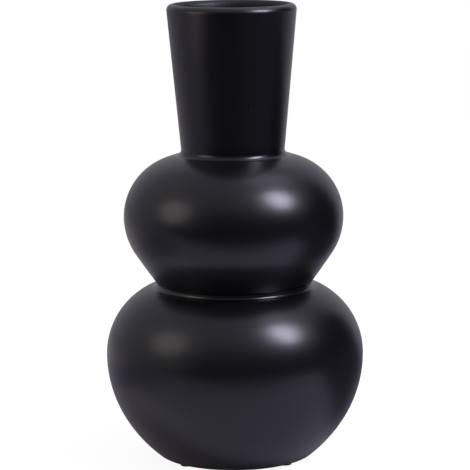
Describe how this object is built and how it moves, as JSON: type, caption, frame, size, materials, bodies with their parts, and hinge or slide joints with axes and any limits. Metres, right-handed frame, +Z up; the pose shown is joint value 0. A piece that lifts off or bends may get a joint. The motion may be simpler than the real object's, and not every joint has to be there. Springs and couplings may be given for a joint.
{
  "type": "double gourd vase",
  "caption": "Tall black stoneware vase: a wide lower gourd, a smaller upper gourd and a straight flared neck with a rounded lip, open from mouth to floor, on a ring foot with felt pads.",
  "frame": {"origin": "on the vase's axis, in the plane of the felt pads' undersides, which is the surface that the vase stands on", "axes": "+Z up along the vase's axis, from the foot to the mouth; the vase is the same from every side, and the felt pads lie on the diagonals between X and Y"},
  "size_m": [0.1706, 0.1706, 0.3],
  "materials": {
    "black_glaze": "satin",
    "fired_slip": "matte",
    "felt": "matte"
  },
  "bodies": {
    "root": {"lower_gourd": "black_glaze", "upper_gourd": "black_glaze", "neck": "black_glaze", "waist_coil": "black_glaze", "neck_coil": "black_glaze", "waist_slip": "fired_slip", "neck_slip": "fired_slip", "felt_pad_1": "felt", "felt_pad_2": "felt", "felt_pad_3": "felt", "felt_pad_4": "felt"}
  },
  "joints": []
}
